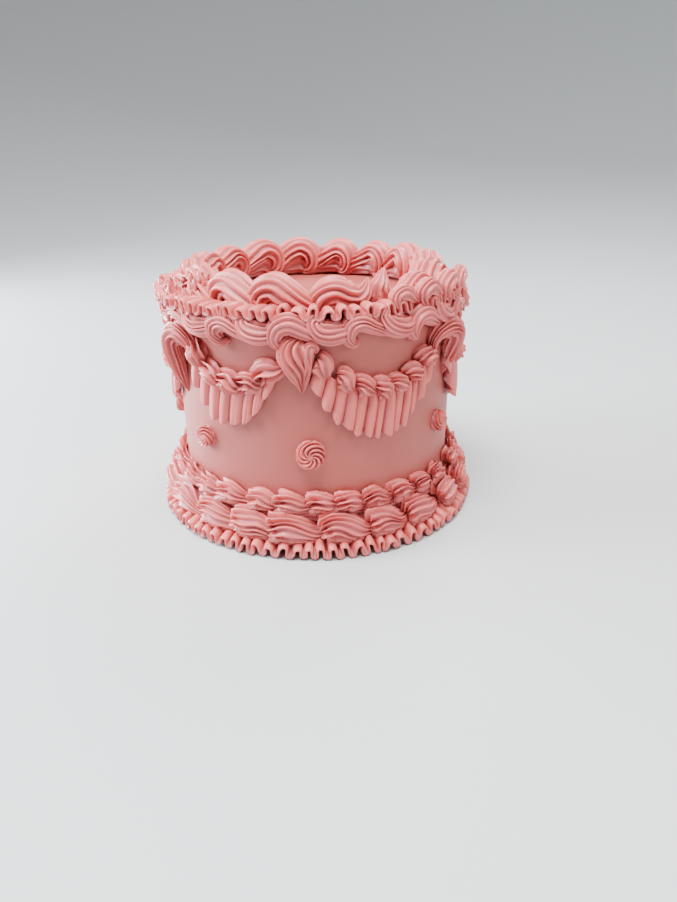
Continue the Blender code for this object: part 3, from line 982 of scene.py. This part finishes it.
def make_fringe(number):
    """The pleats that hang below a garland like petals, each over the next, with rounded ends."""
    hand = random.Random(400 + number)
    middle, half = swag_span(number)
    low = SWAG_LOWS[number]
    pitch = FRINGE_PITCHES[number]
    skew = FRINGE_SKEWS[number]
    pleats = round(2 * half / pitch)
    lay = on_cylinder(middle, BODY_RADIUS, low)
    deepest = low - HEMS[number]
    long = [hand.uniform(-1.2, 1.2) for _ in range(pleats + 2)]
    notch = 5.0 if number in SPIKY_SWAGS else 3.2
    tilt = [hand.uniform(-0.1, 0.1) for _ in range(pleats + 2)]
    bold = [hand.uniform(0.75, 1.25) for _ in range(pleats + 2)]
    shift = [hand.uniform(-0.13, 0.13) for _ in range(pleats + 2)]
    bm = bmesh.new()

    def edge_at(turn, spread):
        turn = min(max(turn, 0), pleats)
        near = min(int(turn), pleats - 1)
        inside = turn - near
        petal = math.sin(math.pi * inside)
        offset = (2 * turn / pleats - 1) * half
        level = 0.25 * offset + 0.75 * (2 * (near + 0.5) / pleats - 1) * half
        edge = abs(level - skew) / (half + (skew if level < skew else -skew))
        top = swag_height(offset, half, low) - 1.5
        hang = deepest - (deepest - 11.5) * edge ** 2.6 - 2.2
        hang += long[near] * petal + notch * (petal ** 0.27 - 0.75)
        bulge = bold[near] * (0.5 + 0.5 * spread ** 0.8) * (1 - 0.3 * spread ** 4)
        shingle = 1.5 * (0.5 - inside) * petal ** 0.3
        crease = 0.28 * math.sin(6 * math.pi * inside + 9 * bold[near]) * petal * spread
        lip = 0.9 * petal * spread ** 9
        aside = shift[near] * (1 - inside) + shift[near + 1] * inside
        x = offset + (tilt[near] * petal - 0.22) * spread * 14 + aside * pitch
        lift = 0.4 + bulge * (4.2 * petal ** 0.6 + shingle) + crease + lip
        return lay(x, top - hang * spread, lift)

    ribbon(bm, pleats, 18, 16, edge_at, 1.5, ring=False)
    return bm


def make_drop(number):
    """A fat drop over a joint: a plain one with a small hood, or one that loops over to its point."""
    hand = random.Random(500 + number)
    bm = bmesh.new()
    rolled = number % 2 == 1
    turned = -1 if number in MIRRORED_DROPS else 1
    top = ROLLED_DROP_TOP if rolled else PLAIN_DROP_TOP
    shapes = (ROLLED_DROP,) if rolled else (PLAIN_DROP, DROP_HOOD)
    drawn_drop = -shapes[0][-1][1]
    lay = on_cylinder(JOINTS[number], BODY_RADIUS, top)
    stretch = (top - DROP_TIPS[number]) / drawn_drop
    for shape in shapes:
        knots = [(x * turned, y * stretch, lift, wide, deep) for x, y, lift, wide, deep in shape]
        knots = varied(knots, hand, 0.02)
        ridges = {DROP_HOOD: 6, PLAIN_DROP: 17, ROLLED_DROP: 13}[shape]
        pipe(bm, lay, knots, ridges, rows=64, twist=hand.uniform(-0.6, 0.0) * turned, seed=600 + number,
             crisp=0.75, groove=0.42, head=0.1 if rolled else 0.16, tail=0.05, sway=0.5)
    return bm


def make_rosette(number):
    """A star swirled into a rose: ridges that wind in to a curl at its middle."""
    hand = random.Random(700 + number)
    ridges = 8
    fine = 10
    around = ridges * fine
    rows = 36
    bm = bmesh.new()
    depth = painted_shade_layer(bm)
    size = ROSETTE_RADII[number]
    high = 0.8 * size
    flank = 0.3
    height = FRONT_ROSETTE_HEIGHT if number == 0 else ROSETTE_HEIGHT + hand.uniform(-1, 1)
    lay = on_cylinder(ROSETTES[number], BODY_RADIUS, height)
    grid = bmesh.ops.create_grid(bm, x_segments=around, y_segments=rows, size=1)
    drift = Vector((number * 7.1, 3.3, 0.7))
    for vert in grid["verts"]:
        column = round((vert.co.x + 1) / 2 * around) % around
        row = round((vert.co.y + 1) / 2 * rows)
        share = row / rows
        turn = 2 * math.pi * column / around
        hollow = (0.5 - 0.5 * math.cos(ridges * turn)) ** 1.5
        uneven = noise.noise(Vector((math.cos(turn), math.sin(turn), share)) * 1.5 + drift)
        if share < flank:
            climb = share / flank
            reach = 1 - 0.04 * climb
            rise = 0.5 * climb
        else:
            inward = (share - flank) / (1 - flank)
            reach = 0.96 * math.cos(inward * math.pi / 2) ** 0.8
            rise = 0.5 + 0.5 * math.sin(min(inward * 1.5, 1) * math.pi / 2) - 0.12 * max(inward - 0.66, 0) * 3
        # Painted shade in the grooves between the ridges
        vert[depth] = hollow
        cut = 0.5 * hollow * math.sin(math.pi * min(share * 1.05, 1)) ** 0.4
        radius = size * reach * (1 - cut * 0.4 + 0.06 * uneven)
        lift = high * rise - high * cut * min(share / flank, 1) * 0.9
        angle = turn + 0.3 + 3.0 * max(share - 0.12, 0) ** 1.2
        vert.co = lay(radius * math.cos(angle), radius * math.sin(angle), max(lift, -0.3))
    bmesh.ops.remove_doubles(bm, verts=grid["verts"], dist=WELD)
    return bm


# Operators


class CAKE_OT_mix_icing(bpy.types.Operator):
    """Mix the buttercream, as smoothed and as piped."""

    bl_idname = "cake.mix_icing"
    bl_label = "Mix the icing"

    def execute(self, context):
        # Plain materials that came with the frame under these names give them up
        for old in ("smooth_icing", "piped_icing"):
            if old in bpy.data.materials:
                bpy.data.materials[old].name = old + "_plain"
        buttercream("smooth_icing", True)
        buttercream("piped_icing", False)
        return {"FINISHED"}


class CAKE_OT_ice_body(bpy.types.Operator):
    """Ice the cake smooth."""

    bl_idname = "cake.ice_body"
    bl_label = "Smooth cake"

    def execute(self, context):
        finished("iced_body", make_body(), ["cake"], "smooth_icing")
        return {"FINISHED"}


class CAKE_OT_pipe_foot(bpy.types.Operator):
    """Pipe the border round the foot: the frill, the large shells and the small shells."""

    bl_idname = "cake.pipe_foot"
    bl_label = "Foot border"

    def execute(self, context):
        finished("foot_frill", make_foot_frill(), ["base_frill"], "piped_icing")
        finished("foot_shells", make_large_shells(), ["base_shells"], "piped_icing")
        finished("foot_small_shells", make_small_shells(), ["collar_shells"], "piped_icing")
        return {"FINISHED"}


class CAKE_OT_pipe_rim(bpy.types.Operator):
    """Pipe the border round the top: the scrolls, the frill and the rolled shells."""

    bl_idname = "cake.pipe_rim"
    bl_label = "Top border"

    def execute(self, context):
        finished("rim_scrolls", make_scrolls(), ["scroll_border"], "piped_icing")
        finished("rim_frill", make_rim_frill(), ["top_frill"], "piped_icing")
        finished("rim_shells", make_top_shells(), ["top_shells"], "piped_icing")
        return {"FINISHED"}


class CAKE_OT_pipe_swags(bpy.types.Operator):
    """Pipe the swags: a garland of shells over a pleated fringe, between each two joints."""

    bl_idname = "cake.pipe_swags"
    bl_label = "Swags"

    def execute(self, context):
        for number in range(len(JOINTS)):
            label = number + 1
            finished(f"garland_{label}", make_garland(number), [f"swag_shells_{label}"], "piped_icing")
            finished(f"fringe_{label}", make_fringe(number), [f"swag_frill_{label}"], "piped_icing")
        return {"FINISHED"}


class CAKE_OT_pipe_drops(bpy.types.Operator):
    """Pipe a fat ridged drop over each joint, and a rosette under it."""

    bl_idname = "cake.pipe_drops"
    bl_label = "Drops and rosettes"

    def execute(self, context):
        for number in range(len(JOINTS)):
            label = number + 1
            finished(f"fat_drop_{label}", make_drop(number), [f"drop_{label}"], "piped_icing")
            finished(f"rose_{label}", make_rosette(number), [f"rosette_{label}"], "piped_icing")
        return {"FINISHED"}


class CAKE_OT_set_stage(bpy.types.Operator):
    """Set the pale floor, the soft light and the camera."""

    bl_idname = "cake.set_stage"
    bl_label = "Stage"

    def execute(self, context):
        set_floor()
        set_lights()
        set_camera()
        return {"FINISHED"}


def set_floor():
    """A pale round floor whose rim bends up far outside the cake."""
    bm = bmesh.new()
    profile = [Vector((0, 0, 0)), Vector((FLOOR_FLAT, 0, 0))]
    for step in range(1, 13):
        angle = math.radians(7.5 * step)
        out = FLOOR_FLAT + FLOOR_BEND * math.sin(angle)
        profile.append(Vector((out, 0, FLOOR_BEND * (1 - math.cos(angle)))))
    spun(bm, profile, 96, MM)
    bmesh.ops.recalc_face_normals(bm, faces=bm.faces)
    for face in bm.faces:
        face.smooth = True
    mesh = bpy.data.meshes.new("floor")
    bm.to_mesh(mesh)
    bm.free()
    floor = bpy.data.objects.new("floor", mesh)
    bpy.context.scene.collection.objects.link(floor)
    paint = bpy.data.materials.new("floor")
    paint.use_nodes = True
    shader = paint.node_tree.nodes["Principled BSDF"]
    shader.inputs["Base Color"].default_value = (*look().floor, 1)
    shader.inputs["Roughness"].default_value = 0.7
    mesh.materials.append(paint)


def add_light(name, place, size, power, colour):
    """A soft square light that faces the cake."""
    lamp = bpy.data.lights.new(name, "AREA")
    lamp.size = size
    lamp.energy = power
    lamp.color = colour
    made = bpy.data.objects.new(name, lamp)
    place = Vector(place)
    towards = Vector((0, 0, AIM_HEIGHT)) - place
    made.matrix_world = Matrix.Translation(place) @ towards.to_track_quat("-Z", "Y").to_matrix().to_4x4()
    made.visible_camera = False
    bpy.context.scene.collection.objects.link(made)


def set_lights():
    """Soft daylight from the left, a pale ceiling, and weak fills from the right and behind."""
    key = look().key_power
    add_light("window", (-0.92, -0.05, 0.50), 0.4, key * 2.1, (0.82, 0.92, 1.0))
    add_light("low_window", (-0.80, 0.42, 0.14), 0.35, key * 2.2, (0.84, 0.92, 1.0))
    add_light("ceiling", (-0.12, -0.32, 1.15), 0.6, key * 3.0, (1.0, 0.965, 0.93))
    add_light("fill", (0.85, -0.62, 0.55), 0.6, key * 0.6, (1.0, 0.95, 0.91))
    add_light("back_fill", (0.45, 0.75, 0.90), 0.5, key * 1.2, (0.96, 0.98, 1.0))
    world = bpy.data.worlds.new("soft_room")
    world.use_nodes = True
    back = world.node_tree.nodes["Background"]
    back.inputs["Color"].default_value = (0.88, 0.90, 0.91, 1)
    back.inputs["Strength"].default_value = 0.54
    bpy.context.scene.world = world


def set_camera():
    """The photograph's own camera: where it stood, how it was tipped, and its wide lens."""
    place = Vector((1.1, -382.4, 190.4)) * MM
    pitch, yaw, roll = math.radians(24.11), math.radians(1.729), math.radians(-0.731)
    forward = Vector((math.sin(yaw) * math.cos(pitch), math.cos(yaw) * math.cos(pitch), -math.sin(pitch)))
    level = Vector((math.cos(yaw), -math.sin(yaw), 0))
    upward = level.cross(forward)
    right = level * math.cos(roll) + upward * math.sin(roll)
    up = upward * math.cos(roll) - level * math.sin(roll)
    focal_pixels = 690
    picture_height = 902
    lens = bpy.data.cameras.new("camera")
    lens.sensor_width = 36
    lens.lens = lens.sensor_width * focal_pixels / picture_height
    camera = bpy.data.objects.new("camera", lens)
    camera.matrix_world = Matrix((
        (right.x, up.x, -forward.x, place.x),
        (right.y, up.y, -forward.y, place.y),
        (right.z, up.z, -forward.z, place.z),
        (0, 0, 0, 1),
    ))
    bpy.context.scene.collection.objects.link(camera)
    bpy.context.scene.camera = camera


class CAKE_PT_panel(bpy.types.Panel):
    """Lists the steps of making the cake."""

    bl_idname = "CAKE_PT_panel"
    bl_label = "Lambeth cake"
    bl_space_type = "VIEW_3D"
    bl_region_type = "UI"
    bl_category = "Cake"

    def draw(self, context):
        layout = self.layout
        for group in (context.scene.cake_sizes, context.scene.icing_look):
            box = layout.box()
            for name in group.__annotations__:
                box.prop(group, name)
        for step in STEPS:
            layout.operator(step.bl_idname)


STEPS = (
    CAKE_OT_mix_icing,
    CAKE_OT_ice_body,
    CAKE_OT_pipe_foot,
    CAKE_OT_pipe_rim,
    CAKE_OT_pipe_swags,
    CAKE_OT_pipe_drops,
    CAKE_OT_set_stage,
)
CLASSES = (CakeSizes, IcingLook, *STEPS, CAKE_PT_panel)


def register():
    for item in CLASSES:
        bpy.utils.register_class(item)
    bpy.types.Scene.cake_sizes = PointerProperty(type=CakeSizes)
    bpy.types.Scene.icing_look = PointerProperty(type=IcingLook)


def unregister():
    del bpy.types.Scene.icing_look
    del bpy.types.Scene.cake_sizes
    for item in reversed(CLASSES):
        bpy.utils.unregister_class(item)


def main():
    register()
    bpy.ops.cake.mix_icing()
    bpy.ops.cake.ice_body()
    bpy.ops.cake.pipe_foot()
    bpy.ops.cake.pipe_rim()
    bpy.ops.cake.pipe_swags()
    bpy.ops.cake.pipe_drops()
    bpy.ops.cake.set_stage()


if __name__ == "__main__":
    main()
